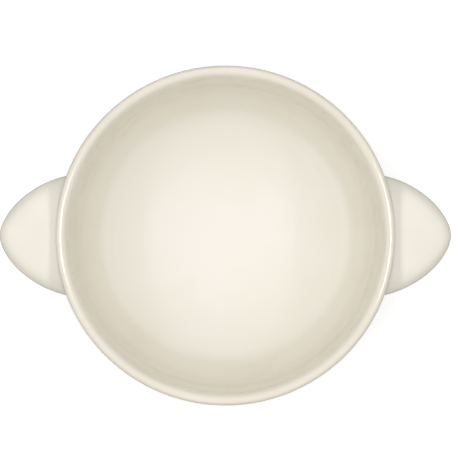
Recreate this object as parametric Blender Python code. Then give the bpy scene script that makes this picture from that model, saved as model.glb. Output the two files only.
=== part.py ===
"""Glazed stoneware soup cup: a turned cup on a foot ring, with two pressed lugs luted to its wall.

Metres, +Z up. The origin is on the table, at the cup's axis. The lugs point along +X and -X.
Run it with blender --background --python part.py, or from the text editor.
"""

import math

import bmesh
import bpy

# The cup: sizes in metres, angles in degrees
RIM_DIAMETER = 0.130
CUP_HEIGHT = 0.062
RIM_THICKNESS = 0.0038
LOWER_WALL_THICKNESS = 0.0052
WALL_LEAN = 2.0
FLOOR_THICKNESS = 0.0050
FLOOR_DISH_RADIUS = 0.320
INSIDE_CORNER_RADIUS = 0.016
OUTSIDE_CORNER_RADIUS = 0.021

# The foot ring, set in from where the flat underside ends
FOOT_SETBACK = 0.0005
FOOT_WIDTH = 0.0056
FOOT_HEIGHT = 0.0045
FOOT_EDGE_RADIUS = 0.0012

# The lugs: each reaches out from just under the rim, and narrows over its taper from full width to the
# tip. Its seat follows the wall and turns in with the lip, as far round as the seat turn
LUG_REACH = 0.022
LUG_ROOT_WIDTH = 0.0468
LUG_TAPER_LENGTH = 0.030
LUG_OUTLINE_POWER = 1.71
LUG_TIP_POWER = 0.59
LUG_DROP = 0.0025
LUG_CROWN_HEIGHT = 0.0074
LUG_UNDERSIDE_DEPTH = 0.0050
LUG_SWELL_POWER = 0.70
LUG_NOSE_LENGTH = 0.0060
LUG_FLAT_LENGTH = 0.0178
LUG_COVE_RADIUS = 0.0050
LUG_COVE_SLOPE = 30.0
LUG_TOP_SQUARENESS = 2.15
LUG_UNDERSIDE_SQUARENESS = 2.6
LUG_SEAT_TURN = 60.0

# What joins the pieces: a thin layer of slip, and the gap that each seat keeps
SLIP_THICKNESS = 0.0006
SEAT_GAP = 0.0003

# Finishes: linear colour and roughness
CREAM_GLAZE = ((0.83, 0.78, 0.66), 0.12)
FIRED_CLAY = ((0.70, 0.62, 0.50), 0.75)
FIRED_SLIP = ((0.70, 0.62, 0.50), 0.80)

# How finely the round shapes are cut
TURNED_STEPS = 64
ARC_STEP = 12.0
LUG_RING_POINTS = 32
NOSE_STEPS = 6
FLAT_STEPS = 4
COVE_STEPS = 3

# Worked out from the sizes above
RIM_RADIUS = RIM_DIAMETER / 2
LIP_RADIUS = RIM_THICKNESS / 2
LIP_CENTRE = (RIM_RADIUS - LIP_RADIUS, CUP_HEIGHT - LIP_RADIUS)
SLIP_ROOM = SEAT_GAP + SLIP_THICKNESS + SEAT_GAP
UNDERSIDE_HEIGHT = FOOT_HEIGHT + SLIP_ROOM
FLOOR_HEIGHT = UNDERSIDE_HEIGHT + FLOOR_THICKNESS
OUTSIDE_LEAN = math.radians(WALL_LEAN)
INSIDE_LEAN = math.atan(
    math.tan(OUTSIDE_LEAN) + (LOWER_WALL_THICKNESS - RIM_THICKNESS) / (CUP_HEIGHT - FLOOR_HEIGHT)
)
LUG_TIP = RIM_RADIUS + LUG_REACH
LUG_TOP_HEIGHT = CUP_HEIGHT - LUG_DROP
AXIS_MERGE = 0.00001


def clear_scene():
    for old in list(bpy.data.objects):
        bpy.data.objects.remove(old, do_unlink=True)


def add_object(name, mesh):
    piece = bpy.data.objects.new(name, mesh)
    bpy.context.scene.collection.objects.link(piece)
    return piece


def finish(piece, look, cup):
    """Gives a piece its own material, and makes it a part of the cup."""
    colour, roughness = look
    material = bpy.data.materials.new(f"{piece.name}_finish")
    material.use_nodes = True
    shader = material.node_tree.nodes["Principled BSDF"]
    shader.inputs["Base Color"].default_value = (*colour, 1.0)
    shader.inputs["Roughness"].default_value = roughness
    shader.inputs["Metallic"].default_value = 0.0
    piece.data.materials.append(material)
    piece.parent = cup


def hide_as_cutter(piece):
    piece.hide_render = True
    piece.display_type = "WIRE"


def arc(centre, radius, start, end):
    """Points on an arc in the (radius, height) plane, from the start angle to the end angle, in radians."""
    steps = max(2, math.ceil(abs(end - start) / math.radians(ARC_STEP)))
    angles = [start + (end - start) * step / steps for step in range(steps + 1)]
    return [(centre[0] + radius * math.cos(a), centre[1] + radius * math.sin(a)) for a in angles]


def turned(name, profile, closed=False):
    """A solid turned about Z from (radius, height) points, which run down the solid's outer side."""
    points = [(radius, 0.0, height) for radius, height in profile]
    edges = [(i, i + 1) for i in range(len(points) - 1)]
    if closed:
        edges.append((len(points) - 1, 0))
    mesh = bpy.data.meshes.new(name)
    mesh.from_pydata(points, edges, [])
    piece = add_object(name, mesh)
    screw = piece.modifiers.new("turn", "SCREW")
    screw.axis = "Z"
    screw.steps = TURNED_STEPS
    screw.render_steps = TURNED_STEPS
    screw.use_merge_vertices = True
    screw.merge_threshold = AXIS_MERGE
    screw.use_smooth_shade = True
    return piece


def outside_corner_centre():
    """Centre of the outside corner's arc, which touches both the leaning wall and the flat underside."""
    height = UNDERSIDE_HEIGHT + OUTSIDE_CORNER_RADIUS
    setback = (LIP_RADIUS - OUTSIDE_CORNER_RADIUS) / math.cos(OUTSIDE_LEAN)
    return LIP_CENTRE[0] + setback - (LIP_CENTRE[1] - height) * math.tan(OUTSIDE_LEAN), height


def outside_profile(offset=0.0):
    """The outside of the cup from the lip down to the underside, set off outwards by the offset."""
    lean = OUTSIDE_LEAN
    lip = LIP_RADIUS + offset
    top = (LIP_CENTRE[0] + lip * math.cos(lean), LIP_CENTRE[1] - lip * math.sin(lean))
    return [top] + arc(outside_corner_centre(), OUTSIDE_CORNER_RADIUS + offset, -lean, -math.pi / 2)


def inside_corner_centre():
    """Centre of the inside corner's arc, which touches both the leaning wall and the dished floor."""
    lean = INSIDE_LEAN
    dish_centre = FLOOR_HEIGHT + FLOOR_DISH_RADIUS
    room = FLOOR_DISH_RADIUS - INSIDE_CORNER_RADIUS
    # Centres at the corner radius from the wall lie on radius = slope * height + start
    slope = math.tan(lean)
    start = LIP_CENTRE[0] - (LIP_RADIUS + INSIDE_CORNER_RADIUS) / math.cos(lean) - LIP_CENTRE[1] * slope
    # ... and at this distance from the dish's centre, which gives a quadratic in the height
    a = slope**2 + 1
    b = 2 * (slope * start - dish_centre)
    c = start**2 + dish_centre**2 - room**2
    height = (-b - math.sqrt(b * b - 4 * a * c)) / (2 * a)
    return slope * height + start, height


def cup_profile():
    """From the middle of the floor up the inside, over the lip, down the outside and in under the cup."""
    corner = inside_corner_centre()
    dish = (0.0, FLOOR_HEIGHT + FLOOR_DISH_RADIUS)
    dish_end = math.atan2(corner[1] - dish[1], corner[0] - dish[0])
    floor = arc(dish, FLOOR_DISH_RADIUS, -math.pi / 2, dish_end)
    floor[0] = (0.0, FLOOR_HEIGHT)
    inside = arc(corner, INSIDE_CORNER_RADIUS, dish_end, -INSIDE_LEAN)
    lip = arc(LIP_CENTRE, LIP_RADIUS, math.pi - INSIDE_LEAN, -OUTSIDE_LEAN)
    return floor + inside[1:] + lip + outside_profile()[1:] + [(0.0, UNDERSIDE_HEIGHT)]


def wall_cutter(name, offset):
    """The whole space inside the cup's outside surface, set off outwards, and carried up past the rim."""
    lip = arc(LIP_CENTRE, LIP_RADIUS + offset, math.radians(LUG_SEAT_TURN), -OUTSIDE_LEAN)
    above = (lip[0][0], CUP_HEIGHT + lug_cove(lug_length()))
    wall = lip + outside_profile(offset)[1:]
    profile = [(0.0, above[1]), above] + wall + [(0.0, UNDERSIDE_HEIGHT - offset)]
    cutter = turned(name, profile)
    hide_as_cutter(cutter)
    return cutter


def lug_half_width(from_tip):
    share = min(from_tip / LUG_TAPER_LENGTH, 1.0)
    return LUG_ROOT_WIDTH / 2 * (1 - (1 - share) ** LUG_OUTLINE_POWER) ** LUG_TIP_POWER


def lug_swell(from_tip):
    """The lug's thickness as a share of its full thickness: it grows with the width, from 0 at the tip."""
    return (2 * lug_half_width(from_tip) / LUG_ROOT_WIDTH) ** LUG_SWELL_POWER


def lug_cove(from_tip):
    """How far the lug's top has risen towards the wall: a short cove across it, then a straight slope."""
    run = max(from_tip - LUG_FLAT_LENGTH, 0.0)
    slope = math.radians(LUG_COVE_SLOPE)
    curved = min(run, LUG_COVE_RADIUS * math.sin(slope))
    rise = LUG_COVE_RADIUS - math.sqrt(LUG_COVE_RADIUS**2 - curved**2)
    return rise + (run - curved) * math.tan(slope)


def lug_length():
    """From the tip to inside the wall, past where the outer surface meets the lug's widest part."""
    lowest_wall = outside_profile()[1][0]
    return LUG_TIP - math.sqrt(lowest_wall**2 - (LUG_ROOT_WIDTH / 2) ** 2) + RIM_THICKNESS


def lug_stations():
    """Distances from the tip of the lug's sections, closest together at the nose and in the cove."""
    cove_end = LUG_FLAT_LENGTH + LUG_COVE_RADIUS * math.sin(math.radians(LUG_COVE_SLOPE))
    stations = [LUG_NOSE_LENGTH * (step / NOSE_STEPS) ** 2 for step in range(1, NOSE_STEPS)]
    for start, end, steps in (
        (LUG_NOSE_LENGTH, LUG_FLAT_LENGTH, FLAT_STEPS),
        (LUG_FLAT_LENGTH, cove_end, COVE_STEPS),
        (cove_end, lug_length(), FLAT_STEPS),
    ):
        stations += [start + (end - start) * step / steps for step in range(steps)]
    return stations + [lug_length()]


def lug_section(from_tip):
    """One closed ring of points across the lug: a crown above its parting line, and a rounded underside."""
    half_width = lug_half_width(from_tip)
    above = LUG_CROWN_HEIGHT * lug_swell(from_tip)
    below = LUG_UNDERSIDE_DEPTH * lug_swell(from_tip)
    parting_height = LUG_TOP_HEIGHT - LUG_CROWN_HEIGHT
    ring = []
    for i in range(LUG_RING_POINTS):
        angle = 2 * math.pi * i / LUG_RING_POINTS
        across, up = math.cos(angle), math.sin(angle)
        power = 2 / (LUG_TOP_SQUARENESS if up >= 0 else LUG_UNDERSIDE_SQUARENESS)
        y = half_width * math.copysign(abs(across) ** power, across)
        z = math.copysign(abs(up) ** power, up) * (above if up >= 0 else below)
        # The cove lifts the top by its whole rise, the sides by half of it and the underside not at all
        z += lug_cove(from_tip) * (1 + up) / 2
        ring.append((LUG_TIP - from_tip, y, parting_height + z))
    return ring


def lug_blank_mesh():
    """The pressed lug before its root is cut to the wall, lofted from the root to the tip."""
    blank = bmesh.new()
    loops = []
    for from_tip in reversed(lug_stations()):
        corners = [blank.verts.new(point) for point in lug_section(from_tip)]
        loops.append([blank.edges.new((corners[i - 1], corners[i])) for i in range(len(corners))])
    for near, far in zip(loops, loops[1:]):
        bmesh.ops.bridge_loops(blank, edges=near + far)
    bmesh.ops.edgeloop_fill(blank, edges=loops[0])
    nose = bmesh.ops.edgeloop_fill(blank, edges=loops[-1])["faces"]
    for tip in bmesh.ops.poke(blank, faces=nose)["verts"]:
        tip.co.x = LUG_TIP
    bmesh.ops.recalc_face_normals(blank, faces=blank.faces)
    mesh = bpy.data.meshes.new("lug_blank")
    blank.to_mesh(mesh)
    blank.free()
    mesh.shade_smooth()
    return mesh


def cut(piece, operation, cutter):
    boolean = piece.modifiers.new(f"{operation.lower()}_{cutter.name}", "BOOLEAN")
    boolean.operation = operation
    boolean.object = cutter
    boolean.solver = "EXACT"


def make_cup_body(cup):
    finish(turned("cup_body", cup_profile()), CREAM_GLAZE, cup)


def make_foot(cup):
    """The ring that the cup stands on, and the slip that holds it to the underside."""
    outer = outside_corner_centre()[0] - FOOT_SETBACK
    inner = outer - FOOT_WIDTH
    edge = FOOT_EDGE_RADIUS
    inner_edge = arc((inner + edge, edge), edge, -math.pi / 2, -math.pi)
    outer_edge = arc((outer - edge, edge), edge, 0.0, -math.pi / 2)
    ring = inner_edge + [(inner, FOOT_HEIGHT), (outer, FOOT_HEIGHT)] + outer_edge
    finish(turned("foot_ring", ring, closed=True), FIRED_CLAY, cup)
    low = FOOT_HEIGHT + SEAT_GAP
    high = low + SLIP_THICKNESS
    layer = [(inner, low), (inner, high), (outer, high), (outer, low)]
    finish(turned("foot_slip", layer, closed=True), FIRED_SLIP, cup)


def make_lugs(cup):
    """Each lug, and the slip between its root and the wall. The left ones are turned half round."""
    slip_inside = wall_cutter("slip_inside_cutter", SEAT_GAP)
    slip_outside = wall_cutter("slip_outside_cutter", SEAT_GAP + SLIP_THICKNESS)
    lug_root = wall_cutter("lug_root_cutter", SLIP_ROOM)
    for side, turn in (("right", 0.0), ("left", math.pi)):
        lug = add_object(f"{side}_lug", lug_blank_mesh())
        cut(lug, "DIFFERENCE", lug_root)
        finish(lug, CREAM_GLAZE, cup)
        layer = add_object(f"{side}_lug_slip", lug_blank_mesh())
        cut(layer, "INTERSECT", slip_outside)
        cut(layer, "DIFFERENCE", slip_inside)
        finish(layer, FIRED_SLIP, cup)
        for piece in (lug, layer):
            piece.rotation_euler.z = turn


clear_scene()
soup_cup = add_object("soup_cup", None)
make_cup_body(soup_cup)
make_foot(soup_cup)
make_lugs(soup_cup)
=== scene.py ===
# %% [markdown]
# # A soup cup with two lugs
# The cup is stoneware: a turned body on a foot ring, with a pressed lug luted to each side. One glossy
# cream glaze covers all of it but the face that it stands on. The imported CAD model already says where
# every piece is. In this lesson each piece is modelled again with the soft edges of fired clay, then
# glazed and lit as on a studio table.

# %% Load the frame
import math

import bmesh
import bpy
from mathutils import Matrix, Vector


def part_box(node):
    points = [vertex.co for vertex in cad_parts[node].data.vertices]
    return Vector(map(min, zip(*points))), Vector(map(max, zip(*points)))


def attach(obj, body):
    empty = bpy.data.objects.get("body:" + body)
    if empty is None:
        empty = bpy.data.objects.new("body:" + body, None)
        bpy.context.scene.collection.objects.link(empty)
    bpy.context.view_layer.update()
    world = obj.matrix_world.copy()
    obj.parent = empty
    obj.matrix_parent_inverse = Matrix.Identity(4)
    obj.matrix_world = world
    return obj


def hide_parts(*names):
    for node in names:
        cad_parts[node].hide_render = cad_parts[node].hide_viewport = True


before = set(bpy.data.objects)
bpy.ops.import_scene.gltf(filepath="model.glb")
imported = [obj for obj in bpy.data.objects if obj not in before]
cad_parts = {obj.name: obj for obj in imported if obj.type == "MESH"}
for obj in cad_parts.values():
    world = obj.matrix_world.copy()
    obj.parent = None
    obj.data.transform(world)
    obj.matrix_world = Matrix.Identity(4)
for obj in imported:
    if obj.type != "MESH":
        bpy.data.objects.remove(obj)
bpy.ops.object.select_all(action="DESELECT")
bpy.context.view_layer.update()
cup_low, cup_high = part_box("cup_body")
foot_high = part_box("foot_ring")[1]
lug_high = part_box("right_lug")[1]
MM = 0.001
print("rim", round(2 * cup_high.x / MM, 1), "mm across, cup", round(cup_high.z / MM, 1), "mm high")

# %% [markdown]
# ## The camera
# The picture looks straight down into the cup, so the rim is a circle and the lugs are pointed
# ovals. A long lens, far away, keeps the view nearly parallel, so that the inside wall shows only
# as a narrow band. The lens follows from the width that the picture takes in at the rim.

# %% Camera
PICTURE_WIDTH = 174.1 * MM
CAMERA_ABOVE_RIM = 1100 * MM
SENSOR_WIDTH = 36.0
VIEW_CENTRE = (1.02 * MM, 2.88 * MM)

bpy.ops.object.camera_add(location=(*VIEW_CENTRE, cup_high.z + CAMERA_ABOVE_RIM), rotation=(0, 0, 0))
camera = bpy.context.object
camera.name = "camera_above"
camera.data.sensor_width = SENSOR_WIDTH
camera.data.lens = SENSOR_WIDTH * CAMERA_ABOVE_RIM / PICTURE_WIDTH
bpy.context.scene.camera = camera
bpy.context.scene.view_settings.view_transform = "Standard"
print("lens", round(camera.data.lens), "mm")


# %% [markdown]
# ## Nodes and colours
# Two small helpers serve the light and every finish. One adds a shader node with its settings and
# links. The other turns an sRGB hex colour, as a colour picker shows it, into the linear values
# that Blender calculates with.

# %% Node and colour helpers
def add_node(tree, kind, inputs=None, **settings):
    node = tree.nodes.new(kind)
    for name, value in settings.items():
        setattr(node, name, value)
    for socket, value in (inputs or {}).items():
        if isinstance(value, bpy.types.NodeSocket):
            tree.links.new(value, node.inputs[socket])
        else:
            node.inputs[socket].default_value = value
    return node


def linear(hex_colour):
    channels = [int(hex_colour[k:k + 2], 16) / 255 for k in (1, 3, 5)]
    return [c / 12.92 if c <= 0.04045 else ((c + 0.055) / 1.055) ** 2.4 for c in channels] + [1.0]


# %% [markdown]
# ## Light
# Pottery is often shown in a light tent: white cloth all round, bright high up, and dim at the level
# of the table. The world gives that dome. Its brightness is set by the height of the sky, with a
# little more from the left and from behind, and less straight overhead, where the softboxes hang.
# Where the camera looks past the table it sees plain white cloth.

# %% Light tent
# Each stop says how high in the sky, from 0 at the table to 1 overhead, and how bright. Each side
# says which way it lies and how much it adds.
TENT_STOPS = ((0.0, 0.07), (0.2, 0.11), (0.36, 0.17), (0.64, 1.23), (0.75, 1.34), (0.87, 1.26),
              (0.95, 0.83), (1.0, 0.32))
TENT_SIDES = (((-0.7, 0, 0.714), 0.29), ((0, 0.7, 0.714), 0.20))
SIDE_FOCUS = 8

world = bpy.data.worlds.new("light_tent")
bpy.context.scene.world = world
world.use_nodes = True
tree = world.node_tree
tree.nodes.clear()
sky = add_node(tree, "ShaderNodeTexCoord").outputs["Generated"]
height = add_node(tree, "ShaderNodeSeparateXYZ", {0: sky}).outputs["Z"]
ramp = add_node(tree, "ShaderNodeValToRGB", {0: height})
for k, (place, level) in enumerate(TENT_STOPS):
    stop = ramp.color_ramp.elements[k] if k < 2 else ramp.color_ramp.elements.new(place)
    stop.position = place
    stop.color = (level, level, level, 1)
glow = add_node(tree, "ShaderNodeRGBToBW", {0: ramp.outputs[0]}).outputs[0]
for way, level in TENT_SIDES:
    facing = add_node(tree, "ShaderNodeVectorMath", {0: sky, 1: way}, operation="DOT_PRODUCT")
    front = add_node(tree, "ShaderNodeMath", {0: facing.outputs["Value"], 1: 0.0}, operation="MAXIMUM")
    spot = add_node(tree, "ShaderNodeMath", {0: front.outputs[0], 1: SIDE_FOCUS}, operation="POWER")
    glow = add_node(tree, "ShaderNodeMath", {0: spot.outputs[0], 1: level, 2: glow},
                    operation="MULTIPLY_ADD").outputs[0]
seen = add_node(tree, "ShaderNodeLightPath").outputs["Is Camera Ray"]
cloth = add_node(tree, "ShaderNodeMix", {"Factor": seen, 2: glow, 3: 1.0})
tent = add_node(tree, "ShaderNodeBackground", {0: (1, 1, 1, 1), 1: cloth.outputs[0]})
add_node(tree, "ShaderNodeOutputWorld", {0: tent.outputs[0]})

# %% [markdown]
# The cup's floor shows a pale patch, brightest in the middle: softboxes overhead, mirrored in the
# glaze. Three of them hang one above another, the smallest lowest, so that their reflections add up
# towards the middle. Each one's power follows from its area, so that its brightness stays as set.

# %% Softboxes
# Each has its height, width, depth and brightness.
SOFTBOX_OFFSET = 10 * MM
SOFTBOXES = {
    "softbox_round": (1280 * MM, 355 * MM, 345 * MM, 0.20),
    "softbox_long": (1300 * MM, 360 * MM, 800 * MM, 0.50),
    "softbox_wide": (1320 * MM, 780 * MM, 1900 * MM, 0.47),
}
for name, (height, wide, deep, radiance) in SOFTBOXES.items():
    bpy.ops.object.light_add(type="AREA", location=(SOFTBOX_OFFSET, 0, height))
    lamp = bpy.context.object
    lamp.name = name
    lamp.data.shape = "ELLIPSE"
    lamp.data.size = wide
    lamp.data.size_y = deep
    lamp.data.energy = math.pi * wide * deep * radiance
    print(name, round(lamp.data.energy, 2), "W")

# %% [markdown]
# The lip shows a crisp white line beside each lug. Two small lamps close over the cup draw it. Each
# has a grid, so that its light goes down on its own side of the lip and not across into the cup, and
# each is set to show only in reflections, so that it doesn't brighten the clay.

# %% Lip lamps
# Each has where it starts and ends across the cup, its depth, and its power per square metre.
LIP_LAMP_HEIGHT = 200 * MM
LIP_LAMP_TILT = math.radians(10)
LIP_LAMP_GRID = math.radians(40)
LIP_LAMPS = {
    "lip_lamp_left": (-76 * MM, -10 * MM, 26 * MM, 1.2),
    "lip_lamp_right": (44 * MM, 76 * MM, 50 * MM, 2.2),
}
for name, (start, end, deep, power) in LIP_LAMPS.items():
    middle = (start + end) / 2
    lean = -math.copysign(LIP_LAMP_TILT, middle)
    bpy.ops.object.light_add(type="AREA", location=(middle, 0, LIP_LAMP_HEIGHT), rotation=(0, lean, 0))
    lamp = bpy.context.object
    lamp.name = name
    lamp.data.shape = "RECTANGLE"
    lamp.data.size = end - start
    lamp.data.size_y = deep
    lamp.data.spread = LIP_LAMP_GRID
    lamp.data.energy = power * lamp.data.size * lamp.data.size_y
    lamp.visible_camera = False
    lamp.visible_diffuse = False
    print(name, round(1000 * lamp.data.energy, 1), "mW")

# %% [markdown]
# ## The table
# The cup stands on plain white paper, which the studio light washes out to white. For the camera
# the paper glows a little. To the cup it returns less light than white paper would, so that the
# glaze keeps its shading. The paper's faint tooth, coarser than a real sheet's so that it can be
# seen, keeps it from looking like a void in the low views.

# %% White paper floor
FLOOR_SIZE = 10.0
PAPER_GLOW = 0.36
PAPER_WHITE = "#EFEFEF"
PAPER_BOUNCE = "#AAAAA8"
PAPER_TOOTH = 1.2 * MM
PAPER_TOOTH_HEIGHT = 0.02 * MM
PAPER_ROUGHNESS = 0.9

bpy.ops.mesh.primitive_grid_add(x_subdivisions=8, y_subdivisions=8, size=FLOOR_SIZE)
floor = bpy.context.object
floor.name = "paper_floor"
paper = bpy.data.materials.new("white_paper")
paper.use_nodes = True
tree = paper.node_tree
shader = tree.nodes["Principled BSDF"]
shader.inputs["Roughness"].default_value = PAPER_ROUGHNESS
shader.inputs["Emission Color"].default_value = (1, 1, 1, 1)
place = add_node(tree, "ShaderNodeTexCoord").outputs["Object"]
tooth = add_node(tree, "ShaderNodeTexNoise", {"Vector": place, "Scale": 1 / PAPER_TOOTH})
bump = add_node(tree, "ShaderNodeBump", {"Height": tooth.outputs[0], "Distance": PAPER_TOOTH_HEIGHT})
tree.links.new(bump.outputs[0], shader.inputs["Normal"])
seen = add_node(tree, "ShaderNodeLightPath").outputs["Is Camera Ray"]
shade = add_node(tree, "ShaderNodeMix", {"Factor": seen, 6: linear(PAPER_BOUNCE), 7: linear(PAPER_WHITE)},
                 data_type="RGBA")
tree.links.new(shade.outputs[2], shader.inputs["Base Color"])
glow = add_node(tree, "ShaderNodeMath", {0: seen, 1: PAPER_GLOW}, operation="MULTIPLY")
tree.links.new(glow.outputs[0], shader.inputs["Emission Strength"])
floor.data.materials.append(paper)

# %% [markdown]
# ## The cup's profile
# A potter turns the body from one profile: a dished floor, a rounded inside corner, a wall that
# leans out a little and thins upwards, a lip with a small radius outside and a broad one inside, and
# the outside back down to the flat underside. Straight lines and arcs that meet without a kink give
# it, so that reflections run smoothly over every join. The rim, the height and the underside come
# from the frame.

# %% Cup sizes
LIP_OUTER_RADIUS = 1.6 * MM
LIP_INNER_RADIUS = 3.4 * MM
LIP_INNER_TURN = math.radians(57)
LIP_SHOULDER_RADIUS = 1.3 * MM
OUTSIDE_LEAN = math.radians(2.0)
INSIDE_LEAN = math.radians(3.5)
CUP_FLOOR_THICKNESS = 5.0 * MM
FLOOR_DISH_RADIUS = 320 * MM
INSIDE_CORNER_RADIUS = 16 * MM
INSIDE_EASE_RADIUS = 40 * MM
INSIDE_EASE_TILT = math.radians(72)
OUTSIDE_CORNER_RADIUS = 21 * MM


def arc(centre, radius, start, end, steps):
    angles = [start + (end - start) * k / steps for k in range(steps + 1)]
    return [Vector((centre.x + radius * math.cos(a), centre.y + radius * math.sin(a))) for a in angles]


lip_centre = Vector((cup_high.x - LIP_OUTER_RADIUS, cup_high.z - LIP_OUTER_RADIUS))
inner_lip_centre = Vector((lip_centre.x, cup_high.z - LIP_INNER_RADIUS))
shoulder_angle = math.pi / 2 + LIP_INNER_TURN
to_shoulder = Vector((math.cos(shoulder_angle), math.sin(shoulder_angle)))
shoulder_centre = inner_lip_centre + (LIP_INNER_RADIUS - LIP_SHOULDER_RADIUS) * to_shoulder
floor_height = cup_low.z + CUP_FLOOR_THICKNESS
dish_centre = Vector((0, floor_height + FLOOR_DISH_RADIUS))

# %% Where the corners lie
# The inside corner is one arc up from the floor's dish, and then a wider one that eases it into the
# wall. The first arc's centre lies one corner radius away from the dish, on a line beside the wall.
inward = Vector((-math.cos(INSIDE_LEAN), math.sin(INSIDE_LEAN)))
down_wall = Vector((-math.sin(INSIDE_LEAN), -math.cos(INSIDE_LEAN)))
ease_start = INSIDE_EASE_TILT - math.pi / 2
to_ease = Vector((math.cos(ease_start), math.sin(ease_start)))
ease_growth = INSIDE_EASE_RADIUS - INSIDE_CORNER_RADIUS
corner_to_wall = INSIDE_EASE_RADIUS + ease_growth * to_ease.dot(inward)
line_start = shoulder_centre + (LIP_SHOULDER_RADIUS + corner_to_wall) * inward
from_dish = line_start - dish_centre
along = from_dish.dot(down_wall)
reach = FLOOR_DISH_RADIUS - INSIDE_CORNER_RADIUS
travel = -along + math.sqrt(along ** 2 - from_dish.length_squared + reach ** 2)
inside_corner = line_start + travel * down_wall
ease_centre = inside_corner - ease_growth * to_ease
corner_start = math.atan2(inside_corner.y - dish_centre.y, inside_corner.x)

outward = Vector((math.cos(OUTSIDE_LEAN), -math.sin(OUTSIDE_LEAN)))
outside_height = cup_low.z + OUTSIDE_CORNER_RADIUS
wall_offset = lip_centre.dot(outward) + LIP_OUTER_RADIUS - OUTSIDE_CORNER_RADIUS
outside_corner = Vector(((wall_offset - outside_height * outward.y) / outward.x, outside_height))
print("inside corner turns at radius", round(inside_corner.x / MM, 2), "mm")


# %% [markdown]
# ## Turning a piece
# In Blender a turned piece is one vertex, extruded point by point along the profile and then spun
# about the axis, much as a template shapes clay on the wheel. The copies that meet at the seam and
# on the axis are merged, and the normals are made to point out of the clay.

# %% Turning helper
TURNED_SEGMENTS = 192
MERGE_DISTANCE = 0.002 * MM


def close_up(piece):
    bpy.ops.mesh.select_all(action="SELECT")
    bpy.ops.mesh.remove_doubles(threshold=MERGE_DISTANCE)
    bpy.ops.mesh.normals_make_consistent(inside=False)
    bpy.ops.object.mode_set(mode="OBJECT")
    bpy.ops.object.shade_smooth()
    piece.select_set(False)
    print(piece.name, len(piece.data.polygons), "faces")
    return piece


def turn(name, profile):
    bpy.ops.mesh.primitive_plane_add(size=MM)
    piece = bpy.context.object
    piece.name = name
    bpy.ops.object.mode_set(mode="EDIT")
    bpy.ops.mesh.merge(type="CENTER")
    bpy.ops.transform.translate(value=(profile[0].x, 0, profile[0].y))
    for here, there in zip(profile, profile[1:]):
        step = {"value": (there.x - here.x, 0, there.y - here.y)}
        bpy.ops.mesh.extrude_vertices_move(TRANSFORM_OT_translate=step)
    bpy.ops.mesh.select_all(action="SELECT")
    bpy.ops.mesh.spin(steps=TURNED_SEGMENTS, angle=2 * math.pi, center=(0, 0, 0), axis=(0, 0, 1))
    return close_up(piece)


def line(start, end, steps):
    return [start.lerp(end, k / steps) for k in range(1, steps)]


# %% Turn the cup body
DISH_STEPS = 16
CORNER_STEPS = 20
EASE_STEPS = 16
SHOULDER_STEPS = 6
INNER_LIP_STEPS = 14
OUTER_LIP_STEPS = 16
OUTSIDE_CORNER_STEPS = 28
WALL_STEPS = 12
UNDERSIDE_STEPS = 10

inside = arc(dish_centre, FLOOR_DISH_RADIUS, -math.pi / 2, corner_start, DISH_STEPS)
inside += arc(inside_corner, INSIDE_CORNER_RADIUS, corner_start, ease_start, CORNER_STEPS)[1:]
inside += arc(ease_centre, INSIDE_EASE_RADIUS, ease_start, -INSIDE_LEAN, EASE_STEPS)[1:]
lip = arc(shoulder_centre, LIP_SHOULDER_RADIUS, math.pi - INSIDE_LEAN, shoulder_angle, SHOULDER_STEPS)
lip += arc(inner_lip_centre, LIP_INNER_RADIUS, shoulder_angle, math.pi / 2, INNER_LIP_STEPS)[1:]
lip += arc(lip_centre, LIP_OUTER_RADIUS, math.pi / 2, -OUTSIDE_LEAN, OUTER_LIP_STEPS)[1:]
outside = arc(outside_corner, OUTSIDE_CORNER_RADIUS, -OUTSIDE_LEAN, -math.pi / 2, OUTSIDE_CORNER_STEPS)
axis_foot = Vector((0, cup_low.z))
profile = inside + line(inside[-1], lip[0], WALL_STEPS) + lip + line(lip[-1], outside[0], WALL_STEPS)
profile += outside + line(outside[-1], axis_foot, UNDERSIDE_STEPS) + [axis_foot]
cup = turn("glazed_cup", profile)

# %% [markdown]
# ## The lugs
# Each lug is a pad of clay pressed in a mould: a pointed oval from above, with a crowned top, a
# rounded underside and a full-round edge. It grows thicker as it widens towards the root. Its top lies
# just under the rim, and sweeps up in a cove before the wall. Cross-sections describe it best. A ring
# of vertices is put on the section at the tip, and its edge is extruded from section to section in to
# the root.

# %% Lug sizes
LUG_TAPER = 30 * MM
LUG_HALF_WIDTH = 23.4 * MM
LUG_OUTLINE_POWER = 1.71
LUG_TIP_POWER = 0.59
LUG_DROP = 2.5 * MM
LUG_CROWN = 7.4 * MM
LUG_UNDERSIDE = 5.0 * MM
LUG_TOP_SQUARENESS = 2.15
LUG_UNDERSIDE_SQUARENESS = 2.6
LUG_SWELL_POWER = 0.7
LUG_NOSE = 6.0 * MM
LUG_FLAT = 17.8 * MM
LUG_COVE_RADIUS = 5.0 * MM
LUG_COVE_SLOPE = math.radians(30)
LUG_SPOKES = 112
lug_tip = lug_high.x
lug_parting = cup_high.z - LUG_DROP - LUG_CROWN


def lug_cove(from_tip):
    run = max(0.0, from_tip - LUG_FLAT)
    curved = min(run, LUG_COVE_RADIUS * math.sin(LUG_COVE_SLOPE))
    rise = LUG_COVE_RADIUS - math.sqrt(LUG_COVE_RADIUS ** 2 - curved ** 2)
    return rise + (run - curved) * math.tan(LUG_COVE_SLOPE)


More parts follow.
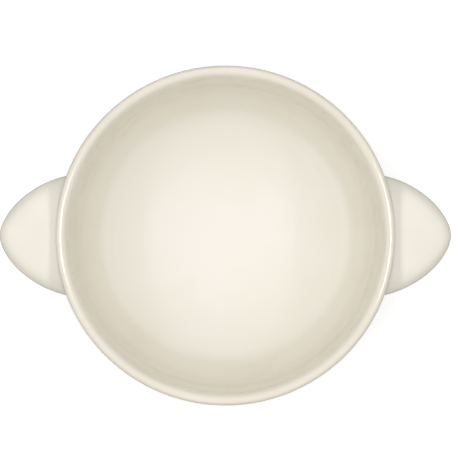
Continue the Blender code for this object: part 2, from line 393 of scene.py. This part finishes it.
# %% One point of a lug
def lug_point(from_tip, spoke):
    angle = 2 * math.pi * spoke / LUG_SPOKES
    side, up = math.cos(angle), math.sin(angle)
    taper = max(0.0, 1 - from_tip / LUG_TAPER)
    half_width = LUG_HALF_WIDTH * (1 - taper ** LUG_OUTLINE_POWER) ** LUG_TIP_POWER
    swell = (half_width / LUG_HALF_WIDTH) ** LUG_SWELL_POWER
    power = 2 / (LUG_TOP_SQUARENESS if up >= 0 else LUG_UNDERSIDE_SQUARENESS)
    rise = swell * (LUG_CROWN if up >= 0 else LUG_UNDERSIDE)
    y = half_width * math.copysign(abs(side) ** power, side)
    z = lug_parting + rise * math.copysign(abs(up) ** power, up) + lug_cove(from_tip) * (1 + up) / 2
    return Vector((lug_tip - from_tip, y, z))


# %% [markdown]
# The root of the lug follows the leaning, round wall, and on top it turns in a little with the lip.
# Each line of the lug that runs from the tip is followed inwards until it meets the outside of the
# cup, halving the step until it is exact.

# %% Where a lug meets the wall
ROOT_NEAREST = 15 * MM
ROOT_FARTHEST = 34 * MM
HALVINGS = 40


def outside_radius(z):
    if z > lip[-1].y:
        return lip_centre.x + math.sqrt(max(0.0, LIP_OUTER_RADIUS ** 2 - (z - lip_centre.y) ** 2))
    return lip[-1].x - (lip[-1].y - z) * math.tan(OUTSIDE_LEAN)


def wall_meeting(spoke):
    near = ROOT_NEAREST
    far = ROOT_FARTHEST
    for _ in range(HALVINGS):
        middle = (near + far) / 2
        p = lug_point(middle, spoke)
        if math.hypot(p.x, p.y) > outside_radius(p.z):
            near = middle
        else:
            far = middle
    return near


meeting = [wall_meeting(s) for s in range(LUG_SPOKES)]
print("lug root lies", round(min(meeting) / MM, 1), "to", round(max(meeting) / MM, 1), "mm from the tip")


# %% Extruding helper
def extrude_rings(name, rings):
    bpy.ops.mesh.primitive_circle_add(vertices=len(rings[0]), radius=MM, fill_type="NOTHING")
    piece = bpy.context.object
    piece.name = name
    bpy.ops.object.mode_set(mode="EDIT")
    spokes = bmesh.from_edit_mesh(piece.data).verts.layers.int.new("spoke")
    for k, vertex in enumerate(bmesh.from_edit_mesh(piece.data).verts):
        vertex[spokes] = k
    for k, ring in enumerate(rings):
        if k:
            bpy.ops.mesh.extrude_edges_move()
        shape = bmesh.from_edit_mesh(piece.data)
        spokes = shape.verts.layers.int["spoke"]
        for vertex in shape.verts:
            if vertex.select:
                vertex.co = ring[vertex[spokes]]
    close_up(piece)
    piece.data.attributes.remove(piece.data.attributes["spoke"])
    return piece


# %% Model the right lug
# The sections crowd towards the tip, where the outline turns fastest.
NOSE_STEPS = 16
NOSE_CROWDING = 3
BODY_STEPS = 34

nose = [LUG_NOSE * (k / NOSE_STEPS) ** NOSE_CROWDING for k in range(NOSE_STEPS + 1)]
lug_rings = [[lug_point(u, s) for s in range(LUG_SPOKES)] for u in nose]
for k in range(1, BODY_STEPS + 1):
    share = k / BODY_STEPS
    lug_rings.append([lug_point(LUG_NOSE + (m - LUG_NOSE) * share, s) for s, m in enumerate(meeting)])
root_middle = sum(lug_rings[-1], Vector()) / LUG_SPOKES
root_middle.x = outside_radius(root_middle.z)
lug_rings.append([p.lerp(root_middle, 0.5) for p in lug_rings[-1]])
lug_rings.append([root_middle] * LUG_SPOKES)
right_lug = extrude_rings("right_glazed_lug", lug_rings)

# %% [markdown]
# ## The luted seams
# The potter scores the lug, sticks it on with slip and wipes the seam round with a wet finger.
# Under the glaze that leaves a small hollow fillet, narrow on top, where the lug lies close under
# the rim, and wider below. Here each line of the lug turns off on to the wall along a curve that
# leaves the lug and reaches the wall without a kink. The bead is closed behind, where it fills the
# corner.

# %% Seam curves
SEAM_TOP_RADIUS = 0.35 * MM
SEAM_UNDER_RADIUS = 0.8 * MM
SEAM_STEPS = 8
SEAM_BEHIND = 0.15 * MM


def bend(start, corner, end, steps):
    shares = [k / steps for k in range(steps + 1)]
    return [(1 - t) ** 2 * start + 2 * t * (1 - t) * corner + t ** 2 * end for t in shares]


def seam_curve(spoke):
    under = (1 - math.sin(2 * math.pi * spoke / LUG_SPOKES)) / 2
    radius = SEAM_TOP_RADIUS + (SEAM_UNDER_RADIUS - SEAM_TOP_RADIUS) * under
    corner = lug_point(meeting[spoke], spoke)
    start = lug_point(meeting[spoke] - radius, spoke)
    ahead = lug_point(meeting[spoke], spoke + 0.5) - lug_point(meeting[spoke], spoke - 0.5)
    away = Vector((0, ahead.z, -ahead.y)).normalized()
    end = corner + radius * away
    scale = outside_radius(end.z) / math.hypot(end.x, end.y)
    end = Vector((end.x * scale, end.y * scale, end.z))
    hidden = corner - SEAM_BEHIND * (away + Vector((1, 0, 0)))
    return bend(start, corner, end, SEAM_STEPS) + [hidden, start]


# %% Model the right seam
curves = [seam_curve(s) for s in range(LUG_SPOKES)]
seam_rings = [list(ring) for ring in zip(*curves)]
right_seam = extrude_rings("right_lug_seam", seam_rings)

# %% [markdown]
# ## The second lug
# Both lugs come out of one mould. The finished lug and its seam are copied and turned half way
# round the cup's axis, and the turn is applied, so that each copy's place is in its own mesh.

# %% Copy to the left
def turned_copy(piece, name):
    bpy.ops.object.select_all(action="DESELECT")
    piece.select_set(True)
    bpy.context.view_layer.objects.active = piece
    bpy.ops.object.duplicate()
    copy = bpy.context.object
    copy.name = name
    bpy.ops.transform.rotate(value=math.pi, orient_axis="Z", center_override=(0, 0, 0))
    bpy.ops.object.transform_apply(location=True, rotation=True, scale=True)
    copy.select_set(False)
    print(copy.name, "reaches x", round(min(v.co.x for v in copy.data.vertices) / MM, 1), "mm")
    return copy


left_lug = turned_copy(right_lug, "left_glazed_lug")
left_seam = turned_copy(right_seam, "left_lug_seam")

# %% [markdown]
# ## The foot
# The foot ring lifts the cup off the table. Its sides are glazed, but the standing face is wiped
# clean before firing, or the glaze would weld it to the kiln shelf. The glaze stops a little above
# the table in a rounded edge, and the bare clay below it lies deeper by the glaze's thickness.

# %% Foot sizes
FOOT_WIDTH = 5.6 * MM
FOOT_EDGE_RADIUS = 1.1 * MM
GLAZE_THICKNESS = 0.18 * MM
GLAZE_LINE = 1.6 * MM
FOOT_EDGE_STEPS = 10
GLAZE_BEAD_STEPS = 6
FOOT_SIDE_STEPS = 4

foot_outside = foot_high.x
foot_inside = foot_outside - FOOT_WIDTH
bare_outside = foot_outside - GLAZE_THICKNESS
bare_inside = foot_inside + GLAZE_THICKNESS


def foot_edge(middle, start, end):
    return arc(Vector((middle, FOOT_EDGE_RADIUS)), FOOT_EDGE_RADIUS, start, end, FOOT_EDGE_STEPS)


def glaze_bead(side, start, end):
    middle = Vector((side, GLAZE_LINE + GLAZE_THICKNESS))
    return arc(middle, GLAZE_THICKNESS, start, end, GLAZE_BEAD_STEPS)


# %% Turn the foot ring
standing = foot_edge(bare_inside + FOOT_EDGE_RADIUS, math.pi, 1.5 * math.pi)
standing += foot_edge(bare_outside - FOOT_EDGE_RADIUS, -math.pi / 2, 0)
outer_bead = glaze_bead(bare_outside, -math.pi / 2, 0)
inner_bead = glaze_bead(bare_inside, math.pi, 1.5 * math.pi)
top_outer = Vector((foot_outside, foot_high.z))
top_inner = Vector((foot_inside, foot_high.z))
profile = standing + outer_bead + line(outer_bead[-1], top_outer, FOOT_SIDE_STEPS) + [top_outer]
profile += line(top_outer, top_inner, FOOT_SIDE_STEPS) + [top_inner]
profile += line(top_inner, inner_bead[0], FOOT_SIDE_STEPS) + inner_bead + [standing[0]]
foot = turn("foot_ring_wiped", profile)

# %% [markdown]
# The foot is luted on as the lugs are, so glaze-covered slip fills the corner on both sides of it.
# This ring of slip is turned too: a hollow curve outside and one inside, with the joint between.

# %% Turn the foot's seam
FOOT_SEAM_WIDTH = 1.3 * MM
FOOT_SEAM_HEIGHT = 2.6 * MM
FOOT_SEAM_STEPS = 10
SEAM_TOP_STEPS = 6

seam_top = cup_low.z
seam_foot = seam_top - FOOT_SEAM_HEIGHT

outer_corner = Vector((foot_outside, seam_top))
inner_corner = Vector((foot_inside, seam_top))
outer_hollow = bend(Vector((foot_outside, seam_foot)), outer_corner,
                    Vector((foot_outside + FOOT_SEAM_WIDTH, seam_top)), FOOT_SEAM_STEPS)
inner_hollow = bend(Vector((foot_inside - FOOT_SEAM_WIDTH, seam_top)), inner_corner,
                    Vector((foot_inside, seam_foot)), FOOT_SEAM_STEPS)
profile = outer_hollow + line(outer_hollow[-1], inner_hollow[0], SEAM_TOP_STEPS) + inner_hollow
profile += [top_inner] + line(top_inner, top_outer, FOOT_SIDE_STEPS) + [top_outer, outer_hollow[0]]
foot_seam = turn("foot_seam", profile)

# %% [markdown]
# ## How thick the glaze is
# Molten glaze draws back from edges and runs down to where it can lie. Each vertex stores that as
# one number: 1 where the glaze is thin, on the lip and round the lugs' edges, half of that on open
# surfaces, a little less along the seams, and least where the glaze pools on the dished floor. The
# finish reads this number.

# %% Store the glaze's thinness
EDGE_THINNESS = 1.0
OPEN_THINNESS = 0.5
SEAM_THINNESS = 0.4
POOL_THINNESS = 0.1
LIP_BAND = 3.6 * MM
POOL_DEPTH = 7 * MM
EDGE_FALLOFF = 1.5


def store_thinness(piece, thinness):
    values = piece.data.attributes.new("glaze_thinness", "FLOAT", "POINT")
    for vertex, value in zip(piece.data.vertices, values.data):
        value.value = min(1.0, max(0.0, thinness(vertex)))
    print(piece.name, "glaze thinness up to", round(max(v.value for v in values.data), 2))


def cup_thinness(vertex):
    over_lip = max(0.0, 1 - (cup_high.z - vertex.co.z) / LIP_BAND)
    pooled = max(0.0, 1 - (vertex.co.z - floor_height) / POOL_DEPTH) if vertex.normal.z > 0 else 0.0
    thinner = (EDGE_THINNESS - OPEN_THINNESS) * over_lip
    thicker = (OPEN_THINNESS - POOL_THINNESS) * pooled
    return OPEN_THINNESS + thinner - thicker


def lug_thinness(vertex):
    edge = (1 - abs(vertex.normal.z)) ** EDGE_FALLOFF
    return OPEN_THINNESS + (EDGE_THINNESS - OPEN_THINNESS) * edge


def seam_thinness(vertex):
    return SEAM_THINNESS


store_thinness(cup, cup_thinness)
for piece in (right_lug, left_lug):
    store_thinness(piece, lug_thinness)
for piece in (right_seam, left_seam, foot_seam, foot):
    store_thinness(piece, seam_thinness)

# %% [markdown]
# ## Cream glaze
# The glaze is a glossy, slightly creamy glass a fraction of a millimetre thick, fired on to the
# clay. It gives the eye a soft pale body colour under clear reflections. Where it is thin the warm
# clay shows through a little, and where it lies thick it is palest. A slow cloudiness and the faint
# ripple of a surface that was once liquid keep it from looking like plastic.

# %% Glazed stoneware
GLAZE_DEEP = "#ECE8E2"
GLAZE_OPEN = "#EAE5D8"
GLAZE_THIN = "#E1DACB"
GLAZE_IOR = 1.52
GLAZE_SMOOTHEST = 0.04
GLAZE_ROUGHEST = 0.06
CLOUD_SIZE = 22 * MM
CLOUD_SHIFT = 0.12
RIPPLE_SIZE = 9 * MM
RIPPLE_HEIGHT = 0.012 * MM
NOISE_LOW = 0.3
NOISE_HIGH = 0.7


def glaze_colour(tree, place):
    thin = add_node(tree, "ShaderNodeAttribute", attribute_name="glaze_thinness").outputs["Fac"]
    cloud = add_node(tree, "ShaderNodeTexNoise", {"Vector": place, "Scale": 1 / CLOUD_SIZE, "Detail": 2.0})
    shift = add_node(tree, "ShaderNodeMapRange",
                     {0: cloud.outputs[0], 1: NOISE_LOW, 2: NOISE_HIGH, 3: -CLOUD_SHIFT, 4: CLOUD_SHIFT})
    mixed = add_node(tree, "ShaderNodeMath", {0: thin, 1: shift.outputs[0]}, operation="ADD")
    ramp = add_node(tree, "ShaderNodeValToRGB", {0: mixed.outputs[0]})
    ramp.color_ramp.elements[0].color = linear(GLAZE_DEEP)
    ramp.color_ramp.elements[1].color = linear(GLAZE_THIN)
    ramp.color_ramp.elements.new(OPEN_THINNESS).color = linear(GLAZE_OPEN)
    return ramp.outputs[0]


glaze = bpy.data.materials.new("glazed_stoneware")
glaze.use_nodes = True
tree = glaze.node_tree
shader = tree.nodes["Principled BSDF"]
shader.inputs["IOR"].default_value = GLAZE_IOR
place = add_node(tree, "ShaderNodeTexCoord").outputs["Object"]
tree.links.new(glaze_colour(tree, place), shader.inputs["Base Color"])
ripple = add_node(tree, "ShaderNodeTexNoise", {"Vector": place, "Scale": 1 / RIPPLE_SIZE, "Detail": 1.0})
gloss = add_node(tree, "ShaderNodeMapRange", {0: ripple.outputs[0], 1: NOISE_LOW, 2: NOISE_HIGH,
                                              3: GLAZE_SMOOTHEST, 4: GLAZE_ROUGHEST})
tree.links.new(gloss.outputs[0], shader.inputs["Roughness"])
bump = add_node(tree, "ShaderNodeBump", {"Height": ripple.outputs[0], "Distance": RIPPLE_HEIGHT})
tree.links.new(bump.outputs[0], shader.inputs["Normal"])

# %% [markdown]
# ## Wiped foot
# Under the glaze line the foot is bare fired clay: buff, dry and a little sandy, so it reflects
# nothing clearly. One finish covers the whole ring and changes from clay to glaze at the line.

# %% Glazed and bare stoneware
CLAY_LIGHT = "#CBB795"
CLAY_DARK = "#B39C78"
CLAY_GRAIN = 0.9 * MM
CLAY_GRAIN_HEIGHT = 0.05 * MM
CLAY_ROUGHNESS = 0.8
GLAZE_EDGE = 0.05 * MM

bare_foot = bpy.data.materials.new("glazed_and_bare_stoneware")
bare_foot.use_nodes = True
tree = bare_foot.node_tree
shader = tree.nodes["Principled BSDF"]
shader.inputs["IOR"].default_value = GLAZE_IOR
place = add_node(tree, "ShaderNodeTexCoord").outputs["Object"]
height = add_node(tree, "ShaderNodeSeparateXYZ", {0: place}).outputs["Z"]
glazed = add_node(tree, "ShaderNodeMapRange",
                  {0: height, 1: GLAZE_LINE - GLAZE_EDGE, 2: GLAZE_LINE + GLAZE_EDGE}).outputs[0]
grain = add_node(tree, "ShaderNodeTexNoise", {"Vector": place, "Scale": 1 / CLAY_GRAIN, "Detail": 3.0})
clay = add_node(tree, "ShaderNodeValToRGB", {0: grain.outputs[0]})
clay.color_ramp.elements[0].color = linear(CLAY_DARK)
clay.color_ramp.elements[1].color = linear(CLAY_LIGHT)
coat = glaze_colour(tree, place)
colour = add_node(tree, "ShaderNodeMix", {"Factor": glazed, 6: clay.outputs[0], 7: coat}, data_type="RGBA")
tree.links.new(colour.outputs[2], shader.inputs["Base Color"])
gloss = add_node(tree, "ShaderNodeMapRange", {0: glazed, 3: CLAY_ROUGHNESS, 4: GLAZE_ROUGHEST})
tree.links.new(gloss.outputs[0], shader.inputs["Roughness"])
dry = add_node(tree, "ShaderNodeMapRange", {0: glazed, 3: 1.0, 4: 0.0})
bump = add_node(tree, "ShaderNodeBump", {"Strength": dry.outputs[0], "Height": grain.outputs[0],
                                         "Distance": CLAY_GRAIN_HEIGHT})
tree.links.new(bump.outputs[0], shader.inputs["Normal"])

# %% [markdown]
# ## Putting it together
# Each new piece takes the place of its CAD solid, gets its finish, and rides on the cup's
# only body. Nothing on a soup cup moves.

# %% Dress the frame
DRESSED = (
    (cup, "cup_body", "cup_glaze", glaze),
    (right_lug, "right_lug", "lug_glaze", glaze),
    (left_lug, "left_lug", "lug_glaze", glaze),
    (right_seam, "right_lug_slip", "joint_slip", glaze),
    (left_seam, "left_lug_slip", "joint_slip", glaze),
    (foot, "foot_ring", "foot_clay", bare_foot),
    (foot_seam, "foot_slip", "joint_slip", glaze),
)
for piece, node, slot, finish in DRESSED:
    piece.data.materials.clear()
    piece.data.materials.append(finish)
    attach(piece, "root")
    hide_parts(node)
print(len(DRESSED), "pieces dressed")
